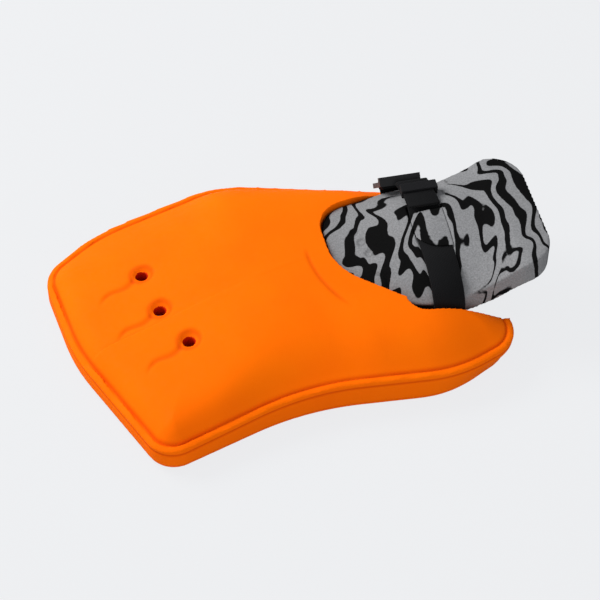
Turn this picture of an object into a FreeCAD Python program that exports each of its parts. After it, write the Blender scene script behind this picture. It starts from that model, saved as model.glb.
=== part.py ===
import FreeCAD
import Part
import Sketcher
import math
import os

from FreeCAD import Placement, Rotation, Vector

# Hand protector for a field-hockey goalkeeper's left hand, in millimetres.
# +X runs from the fingertips to the wrist, +Y is the little-finger side, -Y the
# thumb side and +Z the ball side. The origin is on the resting face, under the
# middle of the whole piece. Wrist pieces are drawn in the guard's own frame:
# u along the wrist, v across it; hand pieces in the hand's frame: p and q.

SIZES = [
    # board outline
    ("finger_end_x", -164.5), ("wrist_end_x", 110.5),
    ("near_half", 117.5), ("far_half", 115.0), ("near_waist", 87.5),
    ("near_finger_half", 96.0), ("far_finger_half", 93.0), ("far_wrist_half", 49.0),
    ("near_finger_radius", 20.0), ("far_finger_radius", 28.0),
    ("near_wrist_radius", 26.0), ("far_wrist_radius", 24.0),
    # board build-up
    ("base_thickness", 4.2), ("base_inset", 1.5), ("rim_finger", 19.5), ("rim_wrist", 25.0),
    ("crown_finger", 33.0), ("crown_palm", 50.5), ("crown_wrist", 40.0),
    ("lip_width", 4.0), ("near_dish_width", 38.0), ("far_dish_width", 40.0),
    ("plain_flank_width", 14.0),
    # vent holes
    ("vent_pitch", 36.0), ("vent_bore", 8.5), ("vent_dish", 17.0),
    ("vent_dish_depth", 2.2), ("vent_x", -103.5), ("vent_y", 12.0),
    # hand pocket
    ("hand_angle", -10.0), ("pocket_length", 178.0), ("pocket_width", 94.0),
    ("pocket_roof", 26.0), ("pocket_corner", 28.0), ("stiffener_thickness", 1.5),
    ("palm_lining_thickness", 2.5), ("sheet_gap", 1.0), ("panel_thickness", 2.5),
    ("panel_margin", 8.0), ("panel_length", 112.0), ("loop_wall", 1.2),
    ("loop_length", 14.0), ("loop_height", 14.0), ("finger_loop_width", 19.0),
    ("finger_loop_pitch", 21.0), ("finger_loop_p", -96.0), ("thumb_loop_width", 26.0),
    # strap across the back of the hand
    ("hand_strap_width", 38.0), ("hand_strap_thickness", 1.6), ("hand_strap_seat", 8.0),
    ("hand_strap_p", -34.0), ("ring_bar", 3.0), ("ring_slot", 8.0), ("ring_q", 28.0),
    ("tab_length", 44.0),
    # wrist guard
    ("guard_angle", -14.0), ("guard_tip_x", 20.0), ("guard_tip_y", -7.0),
    ("guard_length", 142.0), ("guard_half", 56.0), ("guard_waist_half", 50.5),
    ("guard_waist_u", 74.0), ("guard_end_radius", 24.0),
    ("guard_tip_height", 46.0), ("guard_crest", 64.5), ("guard_end_height", 72.0),
    ("guard_tip_drop", 9.0), ("guard_waist_drop", 20.0), ("guard_roll", 0.13),
    ("guard_tip_thickness", 9.5), ("guard_end_thickness", 19.0),
    ("guard_lining_thickness", 2.5), ("lining_inset", 2.0), ("soft_gap", 0.5),
    ("scoop_gap", 1.2), ("notch_start", 40.0), ("notch_half", 57.5),
    ("patch_length", 16.0), ("patch_width", 50.0), ("patch_thickness", 1.0),
    # wrist strap and buckle
    ("webbing_width", 22.0), ("webbing_thickness", 1.6), ("strap_u", 68.0),
    ("tunnel_level", 59.5), ("tunnel_half", 17.0), ("strap_far_level", 66.5),
    ("strap_low", 3.4), ("strap_half", 53.0), ("strap_gap", 0.4),
    ("buckle_u", 58.0), ("bar_v", 64.5), ("bar_z", 48.5), ("buckle_slope", 45.0),
    ("buckle_rail", 3.0), ("side_gap", 0.75), ("buckle_length", 26.0), ("buckle_thickness", 3.6),
    ("buckle_bar", 1.7), ("bar_clearance", 0.3), ("bar_backing", 1.3),
    ("buckle_lip", 5.0), ("lip_rise", 3.0), ("mouth_reach", 6.5),
    ("slot_reach", 13.0), ("slot_length", 5.0), ("wrap_reach", 10.1), ("wrap_inside", 3.7),
    ("keeper_v", 36.0), ("keeper_width", 8.0), ("keeper_wall", 1.5), ("tail_length", 24.0),
]

doc = FreeCAD.newDocument("hand_protector")
sheet = doc.addObject("Spreadsheet::Sheet", "sizes")
for row, (name, number) in enumerate(SIZES, start=1):
    sheet.set("A%d" % row, name)
    sheet.set("B%d" % row, str(number))
    sheet.setAlias("B%d" % row, name)
doc.recompute()

TALL = 100.0        # beyond every height of the piece
nodes = []


def size(name):
    """One driving dimension from the sheet."""
    return float(sheet.get(name))


def blend(stations, at):
    """Smooth value at a position between (position, value) stations."""
    if at <= stations[0][0]:
        return stations[0][1]
    for (low, low_value), (high, high_value) in zip(stations, stations[1:]):
        if at <= high:
            part = (at - low) / (high - low)
            return low_value + (high_value - low_value) * part * part * (3 - 2 * part)
    return stations[-1][1]


def rounded_wire(corners, level=0.0, plane="XY"):
    """Closed wire of straight runs and tangent arcs, from (a, b, radius) corners."""
    def point(flat):
        if plane == "XY":
            return Vector(flat.x, flat.y, level)
        return Vector(level, flat.x, flat.y)

    starts, middles, ends = [], [], []
    for index, (a, b, radius) in enumerate(corners):
        corner = Vector(a, b, 0)
        before = Vector(*corners[index - 1][:2], 0) - corner
        after = Vector(*corners[(index + 1) % len(corners)][:2], 0) - corner
        before.normalize()
        after.normalize()
        half = before.getAngle(after) / 2
        reach = radius / math.tan(half)
        bisector = before + after
        bisector.normalize()
        starts.append(corner + before * reach)
        ends.append(corner + after * reach)
        middles.append(corner + bisector * (radius / math.sin(half) - radius))
    edges = []
    for index in range(len(corners)):
        arc = Part.Arc(point(starts[index]), point(middles[index]), point(ends[index]))
        edges.append(arc.toShape())
        following = starts[(index + 1) % len(corners)]
        if (following - ends[index]).Length > 1e-4:
            edges.append(Part.LineSegment(point(ends[index]), point(following)).toShape())
    return Part.Wire(edges)


def prism(wire, low, high):
    """Solid between two levels, from a flat closed wire at level 0."""
    face = Part.Face(wire)
    face.translate(Vector(0, 0, low))
    return face.extrude(Vector(0, 0, high - low))


def grown(wire, amount):
    """The wire moved outwards (or inwards, if negative)."""
    return wire.makeOffset2D(amount) if amount else wire


def height_face(height, low, high, spacing):
    """Smooth face through height(x, y) over a rectangle."""
    across = int(math.ceil((high[0] - low[0]) / spacing))
    along = int(math.ceil((high[1] - low[1]) / spacing))
    grid = []
    for i in range(across + 1):
        x = low[0] + (high[0] - low[0]) * i / across
        column = []
        for j in range(along + 1):
            y = low[1] + (high[1] - low[1]) * j / along
            column.append(Vector(x, y, height(x, y)))
        grid.append(column)
    surface = Part.BSplineSurface()
    surface.interpolate(grid)
    return surface.toShape()


def below(face):
    return face.extrude(Vector(0, 0, -TALL))


def above(face):
    return face.extrude(Vector(0, 0, TALL))


def keep(label, shape, placement=None):
    """A sub-part whose shape is worked out here."""
    if shape.ShapeType == "Compound" and len(shape.Solids) == 1:
        shape = shape.Solids[0]
    feature = doc.addObject("Part::Feature", label)
    feature.Label = label
    feature.Shape = shape
    if placement:
        feature.Placement = placement
    nodes.append(feature)
    return feature


def bound(kind, label, **formulas):
    """A Part primitive whose sizes follow the sheet."""
    primitive = doc.addObject(kind, label)
    for prop, formula in formulas.items():
        primitive.setExpression(prop, formula)
    return primitive


def linked(formula):
    """A formula with the sheet's name put before each dimension in it."""
    words = formula.replace("(", " ( ").replace(")", " ) ").split()
    names = {name for name, _ in SIZES}
    return " ".join("sizes." + word if word in names else word for word in words)


def box(label, length, width, height, corner):
    """Part::Box with every size and its low corner bound to the sheet."""
    return bound("Part::Box", label,
                 Length=linked(length), Width=linked(width), Height=linked(height),
                 **{"Placement.Base.x": linked(corner[0]),
                    "Placement.Base.y": linked(corner[1]),
                    "Placement.Base.z": linked(corner[2])})


def boolean(kind, label, base, tool):
    result = doc.addObject(kind, label)
    result.Base = base
    result.Tool = tool
    return result


def joined(label, shapes):
    result = doc.addObject("Part::MultiFuse", label)
    result.Shapes = shapes
    return result


def finish_node(feature, label, placement):
    """Names a finished document object as a sub-part and puts it in place."""
    feature.Label = label
    feature.Placement = placement
    nodes.append(feature)
    return feature


# ---------------------------------------------------------------- frames
guard_place = Placement(Vector(size("guard_tip_x"), size("guard_tip_y"), 0),
                        Rotation(Vector(0, 0, 1), size("guard_angle")))
wrist_crease = guard_place.multVec(Vector(size("notch_start"), 0, 0))
hand_place = Placement(wrist_crease, Rotation(Vector(0, 0, 1), size("hand_angle")))


def moved(shape, placement):
    copy = shape.copy()
    copy.Placement = placement.multiply(copy.Placement)
    return copy


# ---------------------------------------------------------------- board outline
finger_x = size("finger_end_x")
wrist_x = size("wrist_end_x")
board_length = wrist_x - finger_x
BOARD_CORNERS = [
    (finger_x + 0.06 * board_length, -size("near_finger_half"), size("near_finger_radius")),
    (finger_x + 0.45 * board_length, -size("near_waist"), 190.0),
    (finger_x + 0.81 * board_length, -size("near_half") - 2.0, 90.0),
    (wrist_x + 3.0, -size("near_half") + 7.0, size("near_wrist_radius")),
    (wrist_x, size("far_wrist_half"), size("far_wrist_radius")),
    (finger_x + 0.55 * board_length, size("far_half") + 3.0, 80.0),
    (finger_x + 0.19 * board_length, size("far_half") - 1.0, 110.0),
    (finger_x + 5.0, size("far_finger_half"), size("far_finger_radius")),
    (finger_x - 2.5, 15.0, 160.0),
]
board_wire = rounded_wire(BOARD_CORNERS)
rim_points = [(point.x, point.y) for point in board_wire.discretize(Distance=2.0)]


def inset(x, y):
    """Distance inside the board outline, or 0 outside it."""
    nearest = 1e9
    within = False
    for (ax, ay), (bx, by) in zip(rim_points, rim_points[1:] + rim_points[:1]):
        run_x, run_y = bx - ax, by - ay
        run = run_x * run_x + run_y * run_y
        if run < 1e-9:
            continue
        share = min(1.0, max(0.0, ((x - ax) * run_x + (y - ay) * run_y) / run))
        nearest = min(nearest, math.hypot(ax + share * run_x - x, ay + share * run_y - y))
        if (ay > y) != (by > y) and x < ax + run_x * (y - ay) / run_y:
            within = not within
    return nearest if within else 0.0


def board_height(x, y):
    """Top of the face: a rim, a dished flank and a softly crowned middle."""
    along = (x - finger_x) / board_length
    plain = size("plain_flank_width")
    if y < 0:
        width = blend([(0.0, 0.6 * plain), (0.22, 1.1 * plain),
                       (0.56, size("near_dish_width")), (0.66, 2.1 * plain),
                       (0.78, 1.9 * plain), (1.0, 1.7 * plain)], along)
    else:
        width = blend([(0.0, 0.6 * plain), (0.25, size("far_dish_width")),
                       (0.40, size("far_dish_width")), (0.52, 1.6 * plain),
                       (1.0, 1.2 * plain)], along)
    rim = blend([(0.0, size("rim_finger")), (0.6, size("rim_wrist"))], along)
    crown = blend([(0.0, size("crown_finger")), (0.55, size("crown_palm")),
                   (0.8, size("crown_palm")), (1.0, size("crown_wrist"))], along)
    crown -= 5.0 * ((y - 5.0) / size("near_half")) ** 2
    rise = max(0.0, inset(x, y) - size("lip_width")) / width
    return rim + (crown - rim) * (1.0 - math.exp(-1.6 * rise ** 1.25))


# ---------------------------------------------------------------- wrist guard surfaces
guard_length = size("guard_length")
waist = size("guard_waist_u")


def guard_height(u, v):
    """Ball side of the guard: arched and rolled over the wrist, level at its flared end."""
    crest = blend([(0.0, size("guard_tip_height")), (waist, size("guard_crest")),
                   (0.7 * guard_length, size("guard_crest") + 2.0),
                   (0.87 * guard_length, size("guard_end_height") - 1.0),
                   (guard_length, size("guard_end_height"))], u)
    drop = blend([(0.0, size("guard_tip_drop")), (0.6 * waist, 0.9 * size("guard_waist_drop")),
                  (waist, size("guard_waist_drop")), (0.88 * guard_length, 0.0)], u)
    roll = blend([(0.55 * guard_length, size("guard_roll")), (0.88 * guard_length, 0.0)], u)
    return crest - drop * (abs(v) / size("guard_half")) ** 2.2 + roll * v


def guard_underside(u, v):
    thickness = blend([(0.0, size("guard_tip_thickness")),
                       (guard_length, size("guard_end_thickness"))], u)
    return guard_height(u, v) - thickness


def lining_underside(u, v):
    return guard_underside(u, v) - size("guard_lining_thickness")


def scoop_floor(u, v):
    return lining_underside(u, v) - size("soft_gap")


guard_half = size("guard_half")
GUARD_CORNERS = [
    (-3.0, 0.84 * guard_half, 26.0),
    (-1.0, -0.18 * guard_half, 45.0),
    (0.72 * waist, -0.97 * guard_half, 50.0),
    (1.08 * waist, -0.97 * size("guard_waist_half"), 60.0),
    (guard_length, -guard_half - 1.0, size("guard_end_radius")),
    (guard_length, guard_half + 1.0, size("guard_end_radius")),
    (1.08 * waist, 0.97 * size("guard_waist_half"), 60.0),
    (0.55 * waist, 1.04 * guard_half, 40.0),
]
guard_wire = rounded_wire(GUARD_CORNERS)
guard_low = (-12.0, -guard_half - 12.0)
guard_high = (guard_length + 12.0, guard_half + 12.0)


def guard_face(height):
    return height_face(height, guard_low, guard_high, 7.0)


guard_top = guard_face(guard_height)
guard_bottom = guard_face(guard_underside)
lining_bottom = guard_face(lining_underside)
scoop_surface = guard_face(scoop_floor)

# ---------------------------------------------------------------- hand pocket outlines
base = size("base_thickness")
pocket_length = size("pocket_length")
pocket_half = size("pocket_width") / 2
sheet_gap = size("sheet_gap")


def pocket_outline(wrist_p, grow, finger_p=None):
    """Pocket outline in the hand's frame, grown all round but open to wrist_p."""
    far_end = -pocket_length - grow if finger_p is None else finger_p
    half = pocket_half + grow
    corner = size("pocket_corner")
    return rounded_wire([(far_end, -half, corner), (far_end, half, corner),
                         (wrist_p, half, 3.0), (wrist_p, -half, 3.0)])


def hand_prism(wire, low, high):
    return moved(prism(wire, low, high), hand_place)


def guard_prism(wire, low, high):
    return moved(prism(wire, low, high), guard_place)


notch_wire = rounded_wire([(size("notch_start"), -size("notch_half"), 14.0),
                           (size("notch_start"), size("notch_half"), 14.0),
                           (2 * guard_length, size("notch_half"), 3.0),
                           (2 * guard_length, -size("notch_half"), 3.0)])
notch = guard_prism(notch_wire, -TALL, TALL)
panel_wire = pocket_outline(-pocket_length - size("panel_margin") + size("panel_length"),
                            size("panel_margin"))
strap_seat_half = pocket_half + size("hand_strap_seat")
hand_strap_low = size("hand_strap_p") - size("hand_strap_width") / 2
hand_strap_high = size("hand_strap_p") + size("hand_strap_width") / 2


def vent_centres():
    """The three vents lie over the fingertips, in a shallow curve."""
    for step, forward in ((-1, 6.0), (0, 0.0), (1, 1.5)):
        yield Vector(size("vent_x") + forward, size("vent_y") + step * size("vent_pitch"), 0)


# ---------------------------------------------------------------- face foam
def make_face_foam(tip_patch):
    low = (finger_x - 8.0, -size("near_half") - 6.0)
    high = (wrist_x + 8.0, size("far_half") + 6.0)
    top = height_face(board_height, low, high, 6.0)
    foam = prism(board_wire, base, TALL).common(below(top))
    pocket = hand_prism(pocket_outline(30.0, 0.0), base - 1.0, size("pocket_roof"))
    panel_seat = hand_prism(panel_wire, base - 1.0, base + size("panel_thickness"))
    strap_seat = Part.makeBox(size("hand_strap_width") + sheet_gap, 2 * strap_seat_half,
                              size("hand_strap_thickness") + 1.0,
                              Vector(hand_strap_low - sheet_gap / 2, -strap_seat_half,
                                     base - 1.0))
    scoop_wire = grown(guard_wire, size("scoop_gap"))
    scoop = above(scoop_surface).common(prism(scoop_wire, -TALL, 2 * TALL))
    cutters = [pocket, panel_seat, moved(strap_seat, hand_place), notch,
               moved(scoop, guard_place), tip_patch, moved(strap_relief, guard_place)]
    for centre in vent_centres():
        surface = board_height(centre.x, centre.y)
        cutters.append(Part.makeCylinder(size("vent_bore") / 2, TALL,
                                         centre + Vector(0, 0, size("pocket_roof") - 1.0)))
        dish_floor = surface - size("vent_dish_depth")
        cutters.append(Part.makeCone(size("vent_bore") / 2, size("vent_dish") / 2 + 2.0,
                                     size("vent_dish_depth") + 1.5,
                                     centre + Vector(0, 0, dish_floor)))
    for cutter in cutters:
        foam = foam.cut(cutter)
    keep("face_foam", foam)


def make_base_foam():
    sheet_wire = grown(board_wire, -size("base_inset"))
    foam = prism(sheet_wire, 0.0, base)
    foam = foam.cut(hand_prism(pocket_outline(30.0, 0.0), -1.0, base + 1.0))
    keep("base_foam", foam.cut(notch))


def make_pocket_sheets():
    """The stiffener plate and the soft lining that make the pocket's roof."""
    outline = pocket_outline(-2.0, -sheet_gap)
    roof = size("pocket_roof")
    plate_low = roof - size("stiffener_thickness")
    lining_low = plate_low - size("palm_lining_thickness")
    plate = hand_prism(outline, plate_low, roof)
    lining = hand_prism(outline, lining_low, plate_low)
    for centre in vent_centres():
        plate = plate.cut(Part.makeCylinder(size("vent_bore") / 2, TALL, centre))
        lining = lining.cut(Part.makeCylinder(size("vent_bore") / 2, TALL, centre))
    keep("palm_stiffener", plate)
    keep("palm_lining", lining)
    gap = sheet_gap / 2
    panel = prism(grown(panel_wire, -gap), base, base + size("panel_thickness"))
    keep("hand_back_panel", panel, hand_place)


def make_finger_loops():
    """Elastic loops under the lining: one for each finger and one for the thumb."""
    top = "pocket_roof - stiffener_thickness - palm_lining_thickness"
    rows = [("index", "finger_loop_width", "finger_loop_p", "-1.5 * finger_loop_pitch"),
            ("middle", "finger_loop_width", "finger_loop_p", "-0.5 * finger_loop_pitch"),
            ("ring", "finger_loop_width", "finger_loop_p", "0.5 * finger_loop_pitch"),
            ("little", "finger_loop_width", "finger_loop_p", "1.5 * finger_loop_pitch"),
            ("thumb", "thumb_loop_width", "finger_loop_p / 4",
             "thumb_loop_width / 2 - pocket_width / 2 + sheet_gap + loop_wall")]
    for finger, width, middle_p, middle_q in rows:
        low_q = middle_q + " - " + width + " / 2"
        outer = box(finger + "_outer", "loop_length", width, "loop_height",
                    (middle_p + " - loop_length / 2", low_q, top + " - loop_height"))
        inner = box(finger + "_inner", "loop_length + 2 * loop_wall",
                    width + " - 2 * loop_wall", "loop_height - 2 * loop_wall",
                    (middle_p + " - loop_length / 2 - loop_wall", low_q + " + loop_wall",
                     top + " - loop_height + loop_wall"))
        loop = boolean("Part::Cut", finger + "_loop", outer, inner)
        finish_node(loop, finger + "_loop", hand_place)


# ---------------------------------------------------------------- hand strap
def webbing_piece(label, across, along, thickness, corner):
    """Flat strip as a padded rectangle; across and along are formulas of the sheet."""
    body = doc.addObject("PartDesign::Body", label + "_body")
    sketch = body.newObject("Sketcher::SketchObject", label + "_outline")
    plane = [part for part in body.Origin.OriginFeatures if part.Role == "XY_Plane"][0]
    sketch.AttachmentSupport = [(plane, "")]
    sketch.MapMode = "FlatFace"
    corners = [Vector(0, 0, 0), Vector(10, 0, 0), Vector(10, 10, 0), Vector(0, 10, 0)]
    for index in range(4):
        sketch.addGeometry(Part.LineSegment(corners[index], corners[(index + 1) % 4]))
    for index in range(4):
        sketch.addConstraint(Sketcher.Constraint("Coincident", index, 2, (index + 1) % 4, 1))
    sketch.addConstraint(Sketcher.Constraint("Coincident", 0, 1, -1, 1))
    for index, direction in enumerate(("Horizontal", "Vertical", "Horizontal", "Vertical")):
        sketch.addConstraint(Sketcher.Constraint(direction, index))
    width = sketch.addConstraint(Sketcher.Constraint("Distance", 0, 10.0))
    run = sketch.addConstraint(Sketcher.Constraint("Distance", 1, 10.0))
    sketch.setExpression("Constraints[%d]" % width, linked(across))
    sketch.setExpression("Constraints[%d]" % run, linked(along))
    pad = body.newObject("PartDesign::Pad", label + "_pad")
    pad.Profile = sketch
    pad.setExpression("Length", linked(thickness))
    finish_node(body, label, hand_place.multiply(Placement(corner, Rotation())))


def make_hand_strap():
    """Webbing over the back of the hand, its ring, and the tab that folds back on it."""
    level = size("base_thickness")
    seat = pocket_half + size("hand_strap_seat")
    webbing_piece("hand_strap", "hand_strap_width",
                  "pocket_width / 2 + hand_strap_seat + ring_q", "hand_strap_thickness",
                  Vector(hand_strap_low, -seat, level))
    webbing_piece("hand_strap_tab", "hand_strap_width", "tab_length",
                  "hand_strap_thickness",
                  Vector(hand_strap_low, size("ring_q") - size("tab_length"),
                         level - size("strap_gap") - size("hand_strap_thickness")))
    outer = box("ring_outer", "hand_strap_width + 2 * ring_bar + 2",
                "ring_slot + 2 * ring_bar", "ring_bar",
                ("hand_strap_p - hand_strap_width / 2 - ring_bar - 1",
                 "ring_q + strap_gap", "base_thickness - ring_bar / 2"))
    inner = box("ring_inner", "hand_strap_width + 2", "ring_slot", "2 * ring_bar",
                ("hand_strap_p - hand_strap_width / 2 - 1",
                 "ring_q + strap_gap + ring_bar", "base_thickness - ring_bar"))
    finish_node(boolean("Part::Cut", "ring_cut", outer, inner), "strap_ring", hand_place)
    start = size("ring_q") + 2 * size("strap_gap") + 2 * size("ring_bar") + size("ring_slot")
    webbing_piece("ring_anchor", "hand_strap_width",
                  "pocket_width / 2 + hand_strap_seat - ring_q - 2 * strap_gap"
                  " - 2 * ring_bar - ring_slot", "hand_strap_thickness",
                  Vector(hand_strap_low, start, level))


# ---------------------------------------------------------------- wrist strap outline
strap_u = size("strap_u")
webbing = size("webbing_thickness")
webbing_half = size("webbing_width") / 2
tunnel_level = size("tunnel_level")
far_level = size("strap_far_level")
far_end_v = size("bar_v") - 0.74 * size("buckle_length")
STRAP_LOOP = [
    (-0.8 * size("strap_half"), size("strap_low"), 12.0),
    (-size("strap_half"), 30.0, 10.0),
    (-size("strap_half"), 41.0, 6.0),
    (-size("strap_half") + 9.5, tunnel_level - 7.0, 12.0),
    (-size("tunnel_half") - 5.0, tunnel_level, 12.0),
    (size("tunnel_half") + 2.0, tunnel_level, 6.0),
    (size("tunnel_half") + 9.0, far_level, 6.0),
    (far_end_v + 4.0, far_level, 2.0),
    (size("bar_v") + 1.5, size("bar_z") + 1.3, 2.0),
    (size("strap_half") + 1.5, size("bar_z") - 8.5, 4.0),
    (size("strap_half") - 0.5, 32.0, 8.0),
    (0.8 * size("strap_half"), size("strap_low"), 12.0),
]


def band(thickness, half_width, middle_u):
    """The strap's closed loop as a flat ring across the wrist, as wide as the webbing."""
    middle = rounded_wire(STRAP_LOOP, middle_u - half_width, "YZ")
    outer = Part.Face(grown(middle, thickness / 2))
    inner = Part.Face(grown(middle, -thickness / 2))
    depth = Vector(2 * half_width, 0, 0)
    return outer.extrude(depth).cut(inner.extrude(depth))


def strap_loop(thickness, half_width):
    """The loop round the wrist, with its last run moved across to the buckle."""
    low = size("bar_z") - 12.0
    side = Part.makeBox(4 * TALL, TALL, TALL, Vector(-2 * TALL, size("strap_half") - 3.0, low))
    above_bar = Part.makeBox(4 * TALL, TALL, TALL,
                             Vector(-2 * TALL, far_end_v, size("bar_z") + 0.5))
    around = band(thickness, half_width, strap_u).cut(side).cut(above_bar)
    last_run = band(thickness, half_width, size("buckle_u")).common(side).cut(above_bar)
    return around.fuse(last_run)


def bar_cylinder(radius, half_width):
    return Part.makeCylinder(radius, 2 * half_width,
                             Vector(size("buckle_u") - half_width, size("bar_v"),
                                    size("bar_z")), Vector(1, 0, 0))


strap_relief = strap_loop(webbing + 2 * size("strap_gap"), webbing_half + size("strap_gap"))


# ---------------------------------------------------------------- guard pieces
def make_guard():
    """Guard shell with a tunnel for the webbing, the bridge over it, and the lining."""
    shell = below(guard_top).common(above(guard_bottom)).common(prism(guard_wire, -TALL, TALL))
    side = webbing_half + 2 * size("strap_gap")
    floor = tunnel_level - webbing / 2 - size("strap_gap")
    ceiling = tunnel_level + webbing / 2 + size("strap_gap")
    mouth = size("tunnel_half") + 9.0
    slot = Part.makeBox(2 * side, 2 * mouth, TALL, Vector(strap_u - side, -mouth, floor))
    over = Part.makeBox(2 * side, 2 * size("tunnel_half"), TALL,
                        Vector(strap_u - side, -size("tunnel_half"), ceiling))
    keep("guard_bridge", shell.common(over), guard_place)
    keep("guard_shell", shell.cut(slot).cut(strap_relief), guard_place)
    patch_wire = rounded_wire([(8.0, -12.0, 4.0), (8.0, size("patch_width") - 12.0, 4.0),
                               (8.0 + size("patch_length"), size("patch_width") - 12.0, 4.0),
                               (8.0 + size("patch_length"), -12.0, 4.0)])
    patch = prism(patch_wire, -TALL, TALL)
    lining_wire = grown(guard_wire, -size("lining_inset"))
    lining = below(guard_bottom).common(above(lining_bottom))
    lining = lining.common(prism(lining_wire, -TALL, TALL)).cut(strap_relief)
    thin = Vector(0, 0, size("patch_thickness"))
    hook = lining_bottom.extrude(thin).common(patch)
    keep("tip_hook_patch", hook, guard_place)
    keep("guard_lining", lining.cut(hook), guard_place)
    return scoop_surface.extrude(-thin).common(patch)


def make_wrist_strap():
    """One loop of webbing, sewn round the buckle's fixed bar and open at its other end."""
    bore = size("buckle_bar") + size("bar_clearance")
    eye = bar_cylinder(bore + webbing, webbing_half)
    beyond = Part.makeBox(4 * TALL, TALL, 2 * TALL,
                          Vector(-2 * TALL, size("bar_v") + bore + webbing, 0))
    strap = strap_loop(webbing, webbing_half).cut(beyond).fuse(eye)
    keep("wrist_strap", strap.cut(bar_cylinder(bore, 2 * webbing_half)), guard_place)
    tail = Part.makeBox(2 * webbing_half, size("tail_length"), webbing,
                        Vector(strap_u - webbing_half, far_end_v - size("tail_length"),
                               far_level + webbing / 2))
    keep("strap_tail", tail, guard_place)


def make_keeper():
    """Elastic loop round the webbing and its tail."""
    low_v = "keeper_v - keeper_width / 2"
    low_z = "strap_far_level - webbing_thickness / 2 - strap_gap"
    inner = box("keeper_inner", "webbing_width + 2 * strap_gap", "2 * keeper_width",
                "2 * webbing_thickness + 2 * strap_gap",
                ("strap_u - webbing_width / 2 - strap_gap", low_v + " - keeper_width / 2",
                 low_z))
    outer = box("keeper_outer", "webbing_width + 2 * strap_gap + 2 * keeper_wall",
                "keeper_width", "2 * webbing_thickness + 2 * strap_gap + 2 * keeper_wall",
                ("strap_u - webbing_width / 2 - strap_gap - keeper_wall", low_v,
                 low_z + " - keeper_wall"))
    finish_node(boolean("Part::Cut", "keeper_cut", outer, inner), "strap_keeper", guard_place)


def make_buckle():
    """Ladder-lock buckle, drawn flat about its fixed bar, and the webbing in its slot."""
    place = guard_place.multiply(
        Placement(Vector(size("buckle_u"), size("bar_v"), size("bar_z")),
                  Rotation(Vector(1, 0, 0), -size("buckle_slope"))))
    half = "webbing_width / 2 + side_gap"
    end = "buckle_bar + bar_backing - buckle_length"
    frame = box("buckle_blank", "2 * ( " + half + " + buckle_rail )", "buckle_length",
                "buckle_thickness",
                ("0 - ( " + half + " ) - buckle_rail", end, "0 - buckle_thickness / 2"))
    lip = box("buckle_lip", "2 * ( " + half + " + buckle_rail )", "buckle_lip",
              "buckle_thickness + lip_rise",
              ("0 - ( " + half + " ) - buckle_rail", end, "0 - buckle_thickness / 2"))
    bar = bound("Part::Cylinder", "buckle_bar_rod", Radius=linked("buckle_bar"),
                Height=linked("webbing_width + 2 * side_gap + buckle_rail"))
    bar.Placement = Placement(Vector(-webbing_half - size("side_gap") - size("buckle_rail") / 2, 0, 0),
                              Rotation(Vector(0, 1, 0), 90))
    mouth = box("buckle_mouth", "2 * ( " + half + " )", "buckle_length", "2 * buckle_length",
                ("0 - ( " + half + " )", "0 - mouth_reach", "0 - buckle_length"))
    slot = box("buckle_slot", "2 * ( " + half + " )", "slot_length", "2 * buckle_length",
               ("0 - ( " + half + " )", "0 - slot_reach", "0 - buckle_length"))
    opened = boolean("Part::Cut", "buckle_opened", joined("buckle_solid", [frame, lip]), mouth)
    slotted = boolean("Part::Cut", "buckle_slotted", opened, slot)
    finish_node(joined("buckle_whole", [slotted, bar]), "buckle_frame", place)
    outer = box("wrap_outer", "webbing_width", "wrap_inside + 2 * webbing_thickness",
                "buckle_thickness + 2 * webbing_thickness",
                ("0 - webbing_width / 2", "0 - wrap_reach - webbing_thickness",
                 "0 - buckle_thickness / 2 - webbing_thickness"))
    inner = box("wrap_inner", "2 * webbing_width", "wrap_inside", "buckle_thickness",
                ("0 - webbing_width", "0 - wrap_reach", "0 - buckle_thickness / 2"))
    finish_node(boolean("Part::Cut", "wrap_cut", outer, inner), "strap_wrap", place)


# ---------------------------------------------------------------- build and write
tip_patch = make_guard()
make_face_foam(moved(tip_patch, guard_place))
keep("tip_loop_patch", tip_patch, guard_place)
make_base_foam()
make_pocket_sheets()
make_finger_loops()
make_hand_strap()
make_wrist_strap()
make_keeper()
make_buckle()
doc.recompute()

for item in doc.Objects:
    if "Invalid" in item.State or "Error" in item.State:
        raise RuntimeError("failed feature: " + item.Label)
os.makedirs("parts", exist_ok=True)
whole = FreeCAD.BoundBox()
for node in nodes:
    if node.Shape.isNull() or not node.Shape.isValid() or not node.Shape.Solids:
        raise RuntimeError("bad shape: " + node.Label)
    node.Shape.exportStep("parts/" + node.Label + ".step")
    whole.add(node.Shape.BoundBox)
    print("%-16s solids %d volume %9.1f" % (node.Label, len(node.Shape.Solids),
                                            node.Shape.Volume))
print("box", whole)
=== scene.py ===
import math

import bmesh
import bpy
import numpy as np
from mathutils import Matrix, Vector
from mathutils.kdtree import KDTree


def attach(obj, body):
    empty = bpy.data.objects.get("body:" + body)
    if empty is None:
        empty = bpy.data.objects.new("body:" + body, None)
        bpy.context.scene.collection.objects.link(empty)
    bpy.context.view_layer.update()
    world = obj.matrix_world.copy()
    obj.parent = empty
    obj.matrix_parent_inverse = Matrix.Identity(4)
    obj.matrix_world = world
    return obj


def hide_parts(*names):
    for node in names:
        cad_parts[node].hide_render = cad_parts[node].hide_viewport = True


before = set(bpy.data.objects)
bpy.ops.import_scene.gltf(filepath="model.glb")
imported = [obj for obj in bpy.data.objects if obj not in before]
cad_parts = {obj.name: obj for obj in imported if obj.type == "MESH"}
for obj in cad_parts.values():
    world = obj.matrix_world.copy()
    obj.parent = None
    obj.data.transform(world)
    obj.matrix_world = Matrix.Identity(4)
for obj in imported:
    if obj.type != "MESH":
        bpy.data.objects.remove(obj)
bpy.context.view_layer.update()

# Looks of a goalkeeper's left-hand protector. Lengths are in metres.
MM = 0.001
scene = bpy.context.scene

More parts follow.
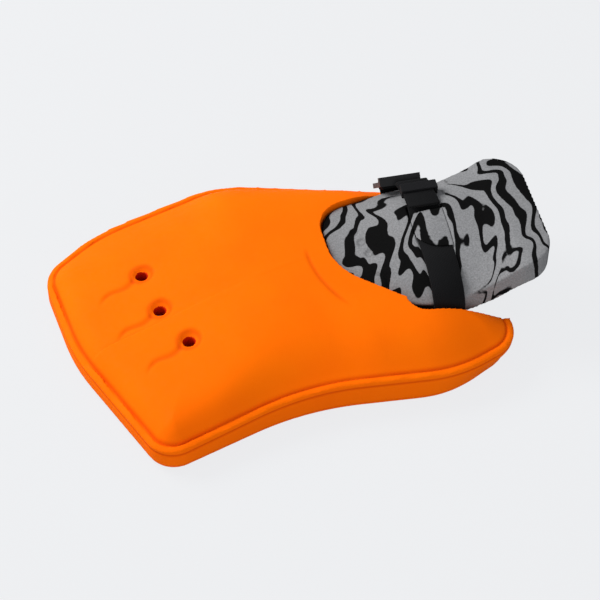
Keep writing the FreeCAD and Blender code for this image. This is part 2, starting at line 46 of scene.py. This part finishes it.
# As in the CAD source: the guard's frame (u, v), and the turn of the hand strap's run.
GUARD_TIP = Vector((20, -7, 0)) * MM
GUARD_TURN = math.radians(-14)
HAND_TURN = math.radians(-10)
GUARD_FRAME = Matrix.Translation(GUARD_TIP) @ Matrix.Rotation(GUARD_TURN, 4, "Z")


# ------------------------------------------------------------------ materials
def new_material(name, base, roughness, specular, sheen=0.0):
    """A material with its shader's constants set, ready for its nodes to be linked."""
    material = bpy.data.materials.new(name)
    material.use_nodes = True
    nodes = material.node_tree.nodes
    shader = nodes["Principled BSDF"]
    shader.inputs["Base Color"].default_value = (*base, 1)
    shader.inputs["Roughness"].default_value = roughness
    shader.inputs["Specular IOR Level"].default_value = specular
    shader.inputs["Sheen Weight"].default_value = sheen
    return material, nodes, material.node_tree.links, shader


def bump(nodes, links, shader, height, strength, distance, below=None):
    """Relief from a height, laid over another relief if one is given."""
    made = nodes.new("ShaderNodeBump")
    made.inputs["Strength"].default_value = strength
    made.inputs["Distance"].default_value = distance
    links.new(height, made.inputs["Height"])
    if below is not None:
        links.new(below.outputs["Normal"], made.inputs["Normal"])
    links.new(made.outputs["Normal"], shader.inputs["Normal"])
    return made


def noise(nodes, links, vector, scale, detail=2.0, distortion=0.0, rough=0.5):
    """Fractal noise over the given coordinates."""
    made = nodes.new("ShaderNodeTexNoise")
    made.inputs["Scale"].default_value = scale
    made.inputs["Detail"].default_value = detail
    made.inputs["Roughness"].default_value = rough
    made.inputs["Distortion"].default_value = distortion
    links.new(vector, made.inputs["Vector"])
    return made.outputs["Fac"]


def ramp(nodes, links, factor, stops):
    """Colour from a factor, by a start and an end stop."""
    made = nodes.new("ShaderNodeValToRGB")
    for element, (place, colour) in zip(made.color_ramp.elements, stops):
        element.position = place
        element.color = (*colour, 1)
    links.new(factor, made.inputs["Fac"])
    return made.outputs["Color"]


def attribute(nodes, name):
    """A value stored at the mesh's points."""
    made = nodes.new("ShaderNodeAttribute")
    made.attribute_name = name
    return made.outputs["Fac"]


def mixed(nodes, links, mode, factor, first, second):
    """Two colours mixed; the factor may be a number, and the second a fixed colour."""
    made = nodes.new("ShaderNodeMix")
    made.data_type = "RGBA"
    made.blend_type = mode
    if isinstance(factor, float):
        made.inputs["Factor"].default_value = factor
    else:
        links.new(factor, made.inputs["Factor"])
    links.new(first, made.inputs["A"])
    if isinstance(second, tuple):
        made.inputs["B"].default_value = (*second, 1)
    else:
        links.new(second, made.inputs["B"])
    return made.outputs["Result"]


def math_node(nodes, links, operation, *values):
    """The result of one operation on sockets or numbers."""
    made = nodes.new("ShaderNodeMath")
    made.operation = operation
    for socket, value in zip(made.inputs, values):
        if isinstance(value, (int, float)):
            socket.default_value = value
        else:
            links.new(value, socket)
    return made.outputs[0]


def orange_foam():
    """Skinned moulded foam, with painted shade deepening its colour in pressed lines, grooves
    and vent bores.
    """
    material, nodes, links, shader = new_material("foam_orange", (1.0, 0.155, 0.0), 0.8, 0.04)
    place = nodes.new("ShaderNodeTexCoord").outputs["Object"]
    cloud = noise(nodes, links, place, 22, 3)
    colour = ramp(nodes, links, cloud, [(0.3, (0.98, 0.146, 0.0)), (0.7, (1.0, 0.162, 0.0))])
    # Painted shade: the colour deepens to a dark red where the mesh marks grooves, pressed
    # lines and vent bores.
    colour = mixed(nodes, links, "MIX", attribute(nodes, "painted_shade"), colour,
                   (0.50, 0.012, 0.0))
    links.new(colour, shader.inputs["Base Color"])
    grain = noise(nodes, links, place, 1500, 2)
    skin = noise(nodes, links, place, 240, 3)
    fine = bump(nodes, links, shader, grain, 0.22, 0.0002)
    bump(nodes, links, shader, skin, 0.18, 0.0004, fine)
    gloss = ramp(nodes, links, skin, [(0.3, (0.66,) * 3), (0.7, (0.82,) * 3)])
    links.new(gloss, shader.inputs["Roughness"])
    return material


def marbled_foam():
    """Two foams milled as one: grey, with near-black swirls that fold round the strap slot."""
    material, nodes, links, shader = new_material("foam_marbled", (0.2, 0.2, 0.2), 0.85, 0.04)
    place = nodes.new("ShaderNodeTexCoord").outputs["Object"]
    slot = GUARD_FRAME @ (Vector((66, -10, 30)) * MM)
    swirl_pitch, fold_depth, patch_depth, ragged = 0.0135, 24.0, 3.4, 0.35
    local = nodes.new("ShaderNodeMapping")
    local.vector_type = "TEXTURE"
    local.inputs["Location"].default_value = slot
    local.inputs["Rotation"].default_value = (0, 0, GUARD_TURN)
    links.new(place, local.inputs["Vector"])
    flat = nodes.new("ShaderNodeVectorMath")
    flat.operation = "MULTIPLY"
    flat.inputs[1].default_value = (1.0, 0.72, 0.35)
    links.new(local.outputs["Vector"], flat.inputs[0])
    length = nodes.new("ShaderNodeVectorMath")
    length.operation = "LENGTH"
    links.new(flat.outputs["Vector"], length.inputs[0])
    fold = noise(nodes, links, flat.outputs["Vector"], 21, 1.2, 1.6)
    phase = math_node(nodes, links, "MULTIPLY", length.outputs["Value"],
                      2 * math.pi / swirl_pitch)
    phase = math_node(nodes, links, "MULTIPLY_ADD", fold, fold_depth, phase)
    wave = math_node(nodes, links, "SINE", phase)
    broad = noise(nodes, links, local.outputs["Vector"], 17, 1.0)
    wave = math_node(nodes, links, "MULTIPLY_ADD", broad, patch_depth, wave)
    edge = noise(nodes, links, place, 330, 2)
    wave = math_node(nodes, links, "MULTIPLY_ADD", edge, ragged, wave)
    scaled = math_node(nodes, links, "MULTIPLY", wave, 0.2)
    black, grey = (0.004, 0.004, 0.004), (0.250, 0.250, 0.254)
    streak = ramp(nodes, links, scaled, [(0.300, black), (0.330, grey)])
    # Painted shade: marked dimple rims, the thumb-rest crescent and steep walls toward the tip
    # turn black.
    streak = mixed(nodes, links, "MIX", attribute(nodes, "painted_shade"), streak, black)
    speck = noise(nodes, links, place, 900, 2, rough=0.7)
    shade = ramp(nodes, links, speck, [(0.3, (0.74,) * 3), (0.7, (1.15,) * 3)])
    colour = mixed(nodes, links, "MULTIPLY", 1.0, streak, shade)
    links.new(colour, shader.inputs["Base Color"])
    fine = bump(nodes, links, shader, speck, 0.35, 0.0003)
    bump(nodes, links, shader, noise(nodes, links, place, 260, 2), 0.15, 0.0004, fine)
    return material


def woven(name, base, rib, turn, sheen, depth=0.0003):
    """Webbing or knit: two crossed waves whose spacing is rib, turned to the strip's run."""
    material, nodes, links, shader = new_material(name, base, 0.8, 0.12, sheen)
    place = nodes.new("ShaderNodeTexCoord").outputs["Object"]
    turned = nodes.new("ShaderNodeMapping")
    turned.inputs["Rotation"].default_value = (0, 0, -turn)
    links.new(place, turned.inputs["Vector"])
    waves = []
    for direction, gap in (("X", rib), ("DIAGONAL", rib * 0.8)):
        wave = nodes.new("ShaderNodeTexWave")
        wave.bands_direction = direction
        wave.inputs["Scale"].default_value = 0.314 / gap
        wave.inputs["Distortion"].default_value = 0.4
        links.new(turned.outputs["Vector"], wave.inputs["Vector"])
        waves.append(wave.outputs["Fac"])
    crossed = math_node(nodes, links, "MULTIPLY_ADD", *waves, 0.1)
    dark = tuple(channel * 0.55 for channel in base)
    light = tuple(channel * 1.9 for channel in base)
    colour = ramp(nodes, links, crossed, [(0.15, dark), (0.85, light)])
    links.new(colour, shader.inputs["Base Color"])
    bump(nodes, links, shader, crossed, 0.7, depth)
    return material


def plastic(name, base, roughness):
    """Moulded plastic with a fine spark-eroded grain and a little wear in its gloss."""
    material, nodes, links, shader = new_material(name, base, roughness, 0.3)
    place = nodes.new("ShaderNodeTexCoord").outputs["Object"]
    grain = noise(nodes, links, place, 2200, 1)
    wear = noise(nodes, links, place, 160, 3)
    gloss = ramp(nodes, links, wear, [(0.35, (roughness * 0.85,) * 3),
                                      (0.7, (min(1.0, roughness * 1.2),) * 3)])
    links.new(gloss, shader.inputs["Roughness"])
    bump(nodes, links, shader, grain, 0.25, 0.0001)
    return material


ORANGE = orange_foam()
MARBLED = marbled_foam()
WEBBING = woven("webbing_black", (0.0045, 0.0045, 0.005), 1.1 * MM, GUARD_TURN, 0.02)
HAND_WEBBING = woven("webbing_hand", (0.006, 0.006, 0.0065), 1.3 * MM, HAND_TURN, 0.03)
ELASTIC = woven("elastic_black", (0.006, 0.006, 0.007), 0.9 * MM, GUARD_TURN, 0.03)
LINING = woven("lining_black", (0.012, 0.012, 0.013), 1.6 * MM, HAND_TURN, 0.08, 0.0002)
HOOKS = woven("hook_loop_black", (0.008, 0.008, 0.008), 0.7 * MM, HAND_TURN, 0.08, 0.0004)
BUCKLE = plastic("plastic_black", (0.004, 0.004, 0.0045), 0.45)
PLATE = plastic("plastic_plate", (0.55, 0.55, 0.52), 0.45)


# ------------------------------------------------------------------ mesh helpers
# Voxel sizes, finer where a piece is thinner.
FOAM_VOXEL, KNIT_VOXEL, BRIDGE_VOXEL = 1.0 * MM, 0.9 * MM, 0.6 * MM
STRAP_VOXEL, LOOP_VOXEL, PILE_VOXEL, WRAP_VOXEL = 0.5 * MM, 0.45 * MM, 0.4 * MM, 0.35 * MM


def add_piece(name, mesh, body, material, slot, *cad_nodes):
    """Links a finished mesh, smooth shaded, parents it to what it rides on and hides the CAD
    nodes it stands for.
    """
    piece = bpy.data.objects.new(name, mesh)
    scene.collection.objects.link(piece)
    mesh.materials.clear()
    mesh.materials.append(material)
    for polygon in mesh.polygons:
        polygon.use_smooth = True
    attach(piece, body)
    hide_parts(*cad_nodes)
    return piece


def remeshed(node_name, voxel, smoothing):
    """The CAD node's solid as an even mesh, its edges softened by smoothing passes."""
    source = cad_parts[node_name]
    copy = bpy.data.objects.new(node_name + "_work", source.data.copy())
    scene.collection.objects.link(copy)
    weld = copy.modifiers.new("weld", "WELD")
    weld.merge_threshold = 1e-6
    grid = copy.modifiers.new("grid", "REMESH")
    grid.mode = "VOXEL"
    grid.voxel_size = voxel
    soften = copy.modifiers.new("soften", "SMOOTH")
    soften.factor = 0.5
    soften.iterations = smoothing
    evaluated = copy.evaluated_get(bpy.context.evaluated_depsgraph_get())
    mesh = bpy.data.meshes.new_from_object(evaluated)
    bpy.data.objects.remove(copy)
    return mesh


def get_points(mesh):
    """The mesh's points as rows of x, y, z."""
    flat = np.empty(len(mesh.vertices) * 3)
    mesh.vertices.foreach_get("co", flat)
    return flat.reshape(-1, 3)


def get_normals(mesh):
    """The mesh's point normals as rows of x, y, z."""
    flat = np.empty(len(mesh.vertices) * 3)
    mesh.vertices.foreach_get("normal", flat)
    return flat.reshape(-1, 3)


def set_points(mesh, points):
    """Writes rows of x, y, z back to the mesh."""
    mesh.vertices.foreach_set("co", points.ravel())
    mesh.update()


def guard_local(points):
    """Rows of x, y, z in the row frame, given in the guard's frame."""
    return (points - np.array(GUARD_TIP)) @ np.array(GUARD_FRAME.to_3x3())


def store_painted_shade(mesh, amount):
    """Stores the painted shade at each point, mostly how far it lies in a pressed line or
    recess, for the material to darken.
    """
    layer = mesh.attributes.new("painted_shade", "FLOAT", "POINT")
    layer.data.foreach_set("value", np.clip(amount, 0, 1).astype(np.float32))


def smooth_step(low, high, value):
    """Nought at low, one at high, eased in between."""
    part = np.clip((value - low) / (high - low), 0, 1)
    return part * part * (3 - 2 * part)


def stations(pairs, at):
    """Smooth value between (position, value) stations, for an array of positions."""
    result = np.full_like(at, pairs[0][1])
    for (low, low_value), (high, high_value) in zip(pairs, pairs[1:]):
        result += (high_value - low_value) * smooth_step(low, high, at)
    return result


def sweep_band(name, path, across):
    """Webbing along a path: a flat section with rounded selvedges, its width along across."""
    path = [Vector(point) for point in path]
    across = Vector(across).normalized()
    half = WEB_WIDTH / 2
    edge = WEB_THICK / 2
    profile = [(-half, -edge * 0.3), (-half + edge, -edge), (0, -edge), (half - edge, -edge),
               (half, -edge * 0.3), (half, edge * 0.3), (half - edge, edge), (0, edge),
               (-half + edge, edge), (-half, edge * 0.3)]
    mesh = bmesh.new()
    rings = []
    for index, point in enumerate(path):
        run = (path[min(index + 1, len(path) - 1)] - path[max(index - 1, 0)]).normalized()
        normal = across.cross(run).normalized()
        rings.append([mesh.verts.new(point + across * a + normal * b) for a, b in profile])
    for ring, following in zip(rings, rings[1:]):
        for side in range(len(profile)):
            other = (side + 1) % len(profile)
            mesh.faces.new((ring[side], ring[other], following[other], following[side]))
    mesh.faces.new(list(reversed(rings[0])))
    mesh.faces.new(rings[-1])
    bmesh.ops.recalc_face_normals(mesh, faces=mesh.faces)
    data = bpy.data.meshes.new(name)
    mesh.to_mesh(data)
    mesh.free()
    return data


def curve_points(corners, step):
    """Points about a step apart on a cubic B-spline that rounds the corners it is given."""
    knots = [Vector(corner) for corner in corners]
    knots = [2 * knots[0] - knots[1]] + knots + [2 * knots[-1] - knots[-2]]
    fine, parts = [], 24
    for index in range(1, len(knots) - 2):
        a, b, c, d = knots[index - 1:index + 3]
        for part in range(parts):
            t = part / parts
            fine.append(((-t**3 + 3*t**2 - 3*t + 1) * a + (3*t**3 - 6*t**2 + 4) * b
                         + (-3*t**3 + 3*t**2 + 3*t + 1) * c + t**3 * d) / 6)
    result = [fine[0]]
    for point in fine[1:]:
        if (point - result[-1]).length >= step:
            result.append(point)
    return result


# ------------------------------------------------------------------ board shape
FINGER_X, WRIST_X = -164.5 * MM, 110.5 * MM
LENGTH = WRIST_X - FINGER_X
NEAR_HALF, FAR_HALF = 117.5 * MM, 115.0 * MM
NEAR_FINGER_HALF, FAR_FINGER_HALF = 96 * MM, 93 * MM
NEAR_WAIST, FAR_WRIST_HALF = 87.5 * MM, 49 * MM
RIM_FINGER, RIM_WRIST = 19.5 * MM, 25 * MM
CROWN_FINGER, CROWN_PALM, CROWN_WRIST = 33 * MM, 50.5 * MM, 40 * MM
PLAIN_FLANK, NEAR_DISH, FAR_DISH = 14.0 * MM, 38 * MM, 40 * MM
LIP_WIDTH = 4.0 * MM
BASE_TOP = 4.2 * MM
BOARD_CORNERS = [
    (FINGER_X + 0.06 * LENGTH, -NEAR_FINGER_HALF, 20 * MM),
    (FINGER_X + 0.45 * LENGTH, -NEAR_WAIST, 190 * MM),
    (FINGER_X + 0.81 * LENGTH, -NEAR_HALF - 2 * MM, 90 * MM),
    (WRIST_X + 3 * MM, -NEAR_HALF + 7 * MM, 26 * MM),
    (WRIST_X, FAR_WRIST_HALF, 24 * MM),
    (FINGER_X + 0.55 * LENGTH, FAR_HALF + 3 * MM, 80 * MM),
    (FINGER_X + 0.19 * LENGTH, FAR_HALF - 1 * MM, 110 * MM),
    (FINGER_X + 5 * MM, FAR_FINGER_HALF, 28 * MM),
    (FINGER_X - 2.5 * MM, 15 * MM, 160 * MM),
]


def rounded_points(corners, step):
    """Points along straight runs and tangent arcs, from (x, y, radius) corners."""
    points = []
    for index, (x, y, radius) in enumerate(corners):
        corner = Vector((x, y))
        before = (Vector(corners[index - 1][:2]) - corner).normalized()
        after = (Vector(corners[(index + 1) % len(corners)][:2]) - corner).normalized()
        half = before.angle(after) / 2
        bisector = (before + after).normalized()
        centre = corner + bisector * (radius / math.sin(half))
        start = corner + before * (radius / math.tan(half)) - centre
        end = corner + after * (radius / math.tan(half)) - centre
        turn = start.angle_signed(end)
        arcs = max(2, int(radius * abs(turn) / step))
        for part in range(arcs + 1):
            angle = -turn * part / arcs
            points.append(centre + Matrix.Rotation(angle, 2) @ start)
    dense = []
    for first, second in zip(points, points[1:] + points[:1]):
        parts = max(1, int((second - first).length / step))
        dense += [first.lerp(second, part / parts) for part in range(parts)]
    return dense


RIM = rounded_points(BOARD_CORNERS, 0.7 * MM)
RIM_TREE = KDTree(len(RIM))
for rim_index, rim_point in enumerate(RIM):
    RIM_TREE.insert((rim_point.x, rim_point.y, 0), rim_index)
RIM_TREE.balance()


def rim_data(points):
    """For each point: its distance from the outline and the outline's inward direction."""
    gap = np.empty(len(points))
    inward = np.empty((len(points), 2))
    for index, (x, y, _) in enumerate(points):
        nearest, rim_at, distance = RIM_TREE.find((x, y, 0))
        ahead = RIM[(rim_at + 3) % len(RIM)]
        behind = RIM[rim_at - 3]
        run = (ahead - behind).normalized()
        inward[index] = (-run.y, run.x)
        gap[index] = (x - nearest.x) * -run.y + (y - nearest.y) * run.x
        if abs(distance) > 3 * MM:
            gap[index] = math.copysign(distance, gap[index])
    return gap, inward


def rim_height(x):
    """Height of the board's edge."""
    return stations([(FINGER_X, RIM_FINGER), (FINGER_X + 0.6 * LENGTH, RIM_WRIST)], x)


def board_height(x, y, gap):
    """Height of the crowned and dished face, as the CAD source gives it."""
    along = (x - FINGER_X) / LENGTH
    near = stations([(0.0, 0.6 * PLAIN_FLANK), (0.22, 1.1 * PLAIN_FLANK), (0.56, NEAR_DISH),
                     (0.66, 2.1 * PLAIN_FLANK), (0.78, 1.9 * PLAIN_FLANK),
                     (1.0, 1.7 * PLAIN_FLANK)], along)
    far = stations([(0.0, 0.6 * PLAIN_FLANK), (0.25, FAR_DISH), (0.40, FAR_DISH),
                    (0.52, 1.6 * PLAIN_FLANK), (1.0, 1.2 * PLAIN_FLANK)], along)
    width = np.where(y < 0, near, far)
    crown = stations([(0.0, CROWN_FINGER), (0.55, CROWN_PALM), (0.8, CROWN_PALM),
                      (1.0, CROWN_WRIST)], along)
    crown = crown - 5 * MM * ((y - 5 * MM) / NEAR_HALF) ** 2
    rise = np.maximum(0, gap - LIP_WIDTH) / width
    rim = rim_height(x)
    return rim + (crown - rim) * (1 - np.exp(-1.6 * rise ** 1.25))


VENTS = [(-97.5 * MM, -24.0 * MM), (-103.5 * MM, 12.0 * MM), (-102.0 * MM, 48.0 * MM)]


def line(distance, width):
    """One on a line, fading to nothing over width either side."""
    return np.exp(-(distance / width) ** 2)


def corner_taper(x, y):
    """How far the wall leans in at its foot, growing toward the near wrist corner."""
    return 6 * MM * smooth_step(30 * MM, 100 * MM, x) * smooth_step(20 * MM, -20 * MM, y)


def make_face_foam():
    """The face skin: true crown, vent dishes with tails, lip and seam lines, leaning wall, and
    painted shade in its grooves and vent bores.
    """
    vent_clear, dish_width, dish_depth = 9.5 * MM, 7.5 * MM, 1.5 * MM
    ring_radius, ring_width, bore_radius = 7.6 * MM, 1.6 * MM, 4.8 * MM
    groove_in, bead_in, second_down, foot_up = 5.2 * MM, 2.6 * MM, 4.2 * MM, 0.4 * MM
    mesh = remeshed("face_foam", FOAM_VOXEL, 4)
    points = get_points(mesh)
    normals = get_normals(mesh)
    gap, inward = rim_data(points)
    x, y, z = points.T.copy()
    target = board_height(x, y, gap)
    top = (np.abs(z - target) < 1.6 * MM) & (normals[:, 2] > 0.35) & (gap > LIP_WIDTH)
    dishes, tails, rings, bores = np.zeros((4, len(points)))
    for vent_x, vent_y in VENTS:
        away = np.hypot(x - vent_x, y - vent_y)
        top &= away > vent_clear
        dishes += line(away, dish_width)
        rings += line(away - ring_radius, ring_width)
        bores += (away < bore_radius) & (z < target - 2.6 * MM)
        tail = vent_x - 4 * MM - x
        bend = 2.6 * MM * np.sin(tail / (5.0 * MM)) + 0.34 * tail
        width = 1.9 * MM + 0.9 * MM * smooth_step(20 * MM, 0, tail)
        fade = smooth_step(0, 4 * MM, tail) * smooth_step(33 * MM, 24 * MM, tail)
        tails += line(y - vent_y + bend, width) * fade
    points[top, 2] = target[top]
    upper = smooth_step(0.2, 0.6, normals[:, 2]) * (z > 10 * MM)
    under_lip = rim_height(x) - z
    lip_line = line(gap - groove_in, 0.9 * MM) * upper
    bead = line(gap - bead_in, 1.4 * MM) * upper
    local = guard_local(points)
    ring = np.hypot(local[:, 0] - 44 * MM, (local[:, 1] - 8 * MM) / 1.15)
    crease = line(ring - 62 * MM, 1.4 * MM)
    crease *= smooth_step(4 * MM, -8 * MM, local[:, 0])
    crease *= smooth_step(14 * MM, 2 * MM, local[:, 1]) * upper
    points[:, 2] += (0.35 * bead - 0.9 * lip_line - 0.5 * crease) * MM
    points[:, 2] -= upper * (dish_depth * dishes + MM * tails)
    wall = smooth_step(0.85, 0.5, np.abs(normals[:, 2])) * (gap < 3 * MM)
    second_line = line(under_lip - second_down, 0.9 * MM) * wall
    foot_line = line(z - BASE_TOP - foot_up, 0.8 * MM) * wall
    lean = corner_taper(x, y) * smooth_step(22 * MM, 4 * MM, z)
    lean *= smooth_step(16 * MM, 2 * MM, gap)
    inset = lean + (0.8 * second_line + 0.5 * foot_line) * MM
    points[:, :2] += inward * inset[:, None]
    set_points(mesh, points)
    # Painted shade: the lip groove, the seam lines on the wall, the crease, the rings round
    # the vent dishes, the vent tails and the vent bores are darkened in colour.
    painted_shade = 0.55 * lip_line + 0.55 * second_line + 0.5 * foot_line + 0.35 * crease
    store_painted_shade(mesh, painted_shade + upper * (0.34 * rings + 0.30 * tails) + bores)
    piece = add_piece("face_foam_skin", mesh, "board", ORANGE, "foam_orange", "face_foam")


def make_base_foam():
    """The foot sheet, its lower edge eased and its near wrist corner leaning in."""
    mesh = remeshed("base_foam", FOAM_VOXEL, 3)
    points = get_points(mesh)
    gap, inward = rim_data(points)
    x, y, z = points.T
    lean = corner_taper(x, y) + 1.6 * MM * smooth_step(2.6 * MM, 0, z)
    points[:, :2] += inward * (lean * smooth_step(16 * MM, 2 * MM, gap))[:, None]
    set_points(mesh, points)
    store_painted_shade(mesh, np.zeros(len(points)))
    piece = add_piece("base_foam_skin", mesh, "board", ORANGE, "foam_orange", "base_foam")


# ------------------------------------------------------------------ wrist guard
DIMPLES = [(18.0 * MM, 20.0 * MM), (21.0 * MM, 9.5 * MM), (24.0 * MM, -1.5 * MM)]
THUMB_REST = (24.0 * MM, -27.0 * MM)


def make_guard():
    """The marbled shell and bridge, the lining under them, and the patches at the tip."""
    for name, voxel, passes in (("guard_shell", FOAM_VOXEL, 8),
                                ("guard_bridge", BRIDGE_VOXEL, 5)):
        mesh = remeshed(name, voxel, passes)
        points = get_points(mesh)
        normals = get_normals(mesh)
        u, v, _ = guard_local(points).T
        upper = smooth_step(0.3, 0.7, normals[:, 2])
        painted_shade = np.zeros(len(points))
        if name == "guard_shell":
            for dimple_u, dimple_v in DIMPLES:
                away = np.hypot(u - dimple_u, v - dimple_v)
                points[:, 2] -= upper * 1.3 * MM * line(away, 2.6 * MM)
                # Painted shade: a dark ring round each dimple's rim.
                painted_shade += 0.30 * upper * line(away - 2.6 * MM, 0.9 * MM)
            away = np.hypot(u - THUMB_REST[0], v - THUMB_REST[1])
            moon = line(away - 7.5 * MM, 1.2 * MM)
            moon *= smooth_step(-2 * MM, 3 * MM, u - THUMB_REST[0])
            points[:, 2] -= upper * MM * moon
            # Painted shade in the thumb rest's crescent groove.
            painted_shade += 0.25 * upper * moon
            # Steep walls toward the tip are painted black: partly the lining's edge, partly
            # painted shade in the gap under the shell.
            painted_shade += smooth_step(0.45, 0.2, normals[:, 2]) * smooth_step(66 * MM, 58 * MM, u)
        set_points(mesh, points)
        store_painted_shade(mesh, painted_shade)
        piece = add_piece(name + "_skin", mesh, "guard", MARBLED, "foam_marbled", name)
    lining = remeshed("guard_lining", KNIT_VOXEL, 3)
    piece = add_piece("guard_lining_knit", lining, "guard", LINING, "lining_black",
                      "guard_lining")
    for name, body in (("tip_hook_patch", "guard"), ("tip_loop_patch", "board")):
        add_piece(name + "_pile", remeshed(name, PILE_VOXEL, 2), body, HOOKS,
                  "hook_loop_black", name)


# ------------------------------------------------------------------ wrist strap
WEB_WIDTH = 22 * MM
WEB_THICK = 1.6 * MM
BUCKLE_BAR = Vector((58, 64.5, 48.5)) * MM
BAR_EYE = 2.9 * MM
BAND_STEP = 1.2 * MM
TAIL_STEP = 1.0 * MM


def in_guard(points):
    """Points of the guard's frame, in the row frame."""
    return [GUARD_FRAME @ Vector(point) for point in points]


def make_wrist_strap():
    """From the open end at the buckle, over the crest, round the wrist, to the sewn eye."""
    across = GUARD_FRAME.to_3x3() @ Vector((1, 0, 0))
    run = [(64, 45, 66.6), (66, 38, 66.5), (66.6, 34, 66.5), (67, 30, 66.5),
           (67.4, 27, 66.3), (68, 23, 63.4), (68, 17.5, 59.8),
           (68, 6, 59.5), (68, -6, 59.5), (68, -17, 59.5), (68, -24, 59.4), (68, -33, 56.8),
           (68, -42, 53.4), (68, -50, 46.5), (68, -54.0, 40), (68, -54.0, 32),
           (68, -52, 22), (68, -48, 11), (68, -42, 4.0), (68, -30, 3.0), (68, -10, 3.0),
           (68, 10, 3.0), (68, 30, 3.0), (68, 42, 4.0), (67, 48, 12), (65, 51, 24),
           (62, 53, 34), (59, 56, 41), (58, 60, 44.6)]
    path = curve_points([Vector(point) * MM for point in run], BAND_STEP)
    eye, eye_parts, eye_start, eye_sweep = [], 30, -140, 335
    for part in range(eye_parts):
        angle = math.radians(eye_start + eye_sweep * part / (eye_parts - 1))
        eye.append(BUCKLE_BAR + BAR_EYE * Vector((0, math.cos(angle), math.sin(angle))))
    mesh = sweep_band("wrist_strap_web", in_guard(path + eye), across)
    add_piece("wrist_strap_web", mesh, "guard", WEBBING, "webbing_black", "wrist_strap")
    tail = [(65, 44, 68.6), (66, 38, 68.5), (67, 30, 68.4), (68, 24, 67.6), (68, 19, 66.9)]
    path = curve_points([Vector(point) * MM for point in tail], TAIL_STEP)
    mesh = sweep_band("strap_tail_web", in_guard(path), across)
    add_piece("strap_tail_web", mesh, "guard", WEBBING, "webbing_black", "strap_tail")


def bevelled(name, width, material):
    """A hard CAD piece keeps its own shape, with its edges broken."""
    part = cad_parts[name]
    edge = part.modifiers.new("edges", "BEVEL")
    edge.width = width
    edge.segments = 3
    edge.limit_method = "ANGLE"
    part.data.materials.clear()
    part.data.materials.append(material)


def make_buckle():
    """The plastic pieces, and the webbing and keeper that ride near them."""
    bevelled("buckle_frame", 0.5 * MM, BUCKLE)
    bevelled("strap_ring", 0.8 * MM, BUCKLE)
    bevelled("palm_stiffener", 0.3 * MM, PLATE)
    wrap = remeshed("strap_wrap", WRAP_VOXEL, 6)
    add_piece("strap_wrap_web", wrap, "buckle", WEBBING, "webbing_black", "strap_wrap")
    keeper = remeshed("strap_keeper", WRAP_VOXEL, 6)
    add_piece("strap_keeper_knit", keeper, "keeper", ELASTIC, "elastic_black",
              "strap_keeper")


# ------------------------------------------------------------------ hand pocket pieces
def make_hand_pieces():
    """What the hand touches under the face: linings, elastic loops and the hand strap."""
    for name in ("palm_lining", "hand_back_panel"):
        mesh = remeshed(name, KNIT_VOXEL, 4)
        piece = add_piece(name + "_knit", mesh, "board", LINING, "lining_black", name)
    for name in ("index_loop", "middle_loop", "ring_loop", "little_loop", "thumb_loop"):
        mesh = remeshed(name, LOOP_VOXEL, 4)
        add_piece(name + "_knit", mesh, "board", ELASTIC, "elastic_black", name)
    for name, body, material, slot in (
            ("hand_strap", "board", HAND_WEBBING, "webbing_black"),
            ("ring_anchor", "board", HAND_WEBBING, "webbing_black"),
            ("hand_strap_tab", "strap_tab", HOOKS, "hook_loop_black")):
        add_piece(name + "_web", remeshed(name, STRAP_VOXEL, 3), body, material, slot, name)


# ------------------------------------------------------------------ stage
def make_stage():
    """A pale floor that reads as the background, a plain world and two soft lamps."""
    bpy.ops.mesh.primitive_plane_add(size=12, location=(0, 0, 0))
    floor = bpy.context.object
    floor.name = "floor"
    material, nodes, links, shader = new_material("floor", (0.50, 0.505, 0.51), 0.9, 0.1)
    path = nodes.new("ShaderNodeLightPath")
    shown = nodes.new("ShaderNodeEmission")
    shown.inputs["Color"].default_value = (0.885, 0.895, 0.913, 1)
    mix = nodes.new("ShaderNodeMixShader")
    output = nodes["Material Output"]
    seen = math_node(nodes, links, "MAXIMUM", path.outputs["Is Camera Ray"],
                     path.outputs["Is Glossy Ray"])
    links.new(math_node(nodes, links, "MULTIPLY", seen, 0.90), mix.inputs["Fac"])
    links.new(shader.outputs["BSDF"], mix.inputs[1])
    links.new(shown.outputs["Emission"], mix.inputs[2])
    below = nodes.new("ShaderNodeNewGeometry")
    clear = nodes.new("ShaderNodeBsdfTransparent")
    sided = nodes.new("ShaderNodeMixShader")
    links.new(below.outputs["Backfacing"], sided.inputs["Fac"])
    links.new(mix.outputs["Shader"], sided.inputs[1])
    links.new(clear.outputs["BSDF"], sided.inputs[2])
    links.new(sided.outputs["Shader"], output.inputs["Surface"])
    floor.data.materials.append(material)
    world = bpy.data.worlds.new("studio")
    scene.world = world
    world.use_nodes = True
    background = world.node_tree.nodes["Background"]
    background.inputs["Color"].default_value = (0.92, 0.95, 1.0, 1)
    background.inputs["Strength"].default_value = 0.47
    for name, place, size, power in (("key", (-0.80, 1.0, 1.15), 0.9, 30.0),
                                     ("fill", (-0.6, -1.5, 0.55), 1.4, 9.5)):
        data = bpy.data.lights.new(name, "AREA")
        data.size = size
        data.energy = power
        lamp = bpy.data.objects.new(name, data)
        lamp.location = place
        aim = Vector((0, 0, 0.03)) - Vector(place)
        lamp.rotation_euler = aim.to_track_quat("-Z", "Y").to_euler()
        scene.collection.objects.link(lamp)


def make_camera():
    """Looks down from above the near edge, a little round toward the finger end."""
    azimuth, elevation = math.radians(-26), math.radians(47)
    distance = 1.3
    target = Vector((-7, -8, 20)) * MM
    back = Vector((math.sin(azimuth) * math.cos(elevation),
                   -math.cos(azimuth) * math.cos(elevation), math.sin(elevation)))
    data = bpy.data.cameras.new("camera")
    data.lens = 112.3
    camera = bpy.data.objects.new("camera", data)
    camera.location = target + back * distance
    camera.rotation_euler = (-back).to_track_quat("-Z", "Y").to_euler()
    scene.collection.objects.link(camera)
    scene.camera = camera


make_face_foam()
make_base_foam()
make_guard()
make_wrist_strap()
make_buckle()
make_hand_pieces()
make_stage()
make_camera()
scene.view_settings.view_transform = "Standard"
